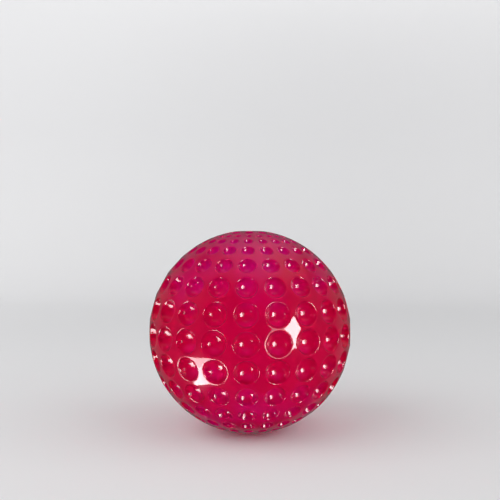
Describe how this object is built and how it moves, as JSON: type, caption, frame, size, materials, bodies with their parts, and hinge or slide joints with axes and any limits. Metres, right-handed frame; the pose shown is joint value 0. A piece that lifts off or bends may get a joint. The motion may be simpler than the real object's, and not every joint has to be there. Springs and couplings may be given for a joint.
{
  "type": "dog toy ball",
  "caption": "Round translucent chew ball for dogs, hollow so that it floats, its skin covered in rows of deep round pits that get smaller towards the poles, with a small flat at each pole.",
  "frame": {"origin": "centre of the ball", "axes": "+Z through the poles, square to the welded joint; -Y is the front, on a column of pits"},
  "size_m": [0.085, 0.0842, 0.0842],
  "materials": {
    "crimson_tpu": "glossy translucent moulded rubber"
  },
  "bodies": {
    "root": {"upper_half_shell": "crimson_tpu", "lower_half_shell": "crimson_tpu"}
  },
  "joints": []
}
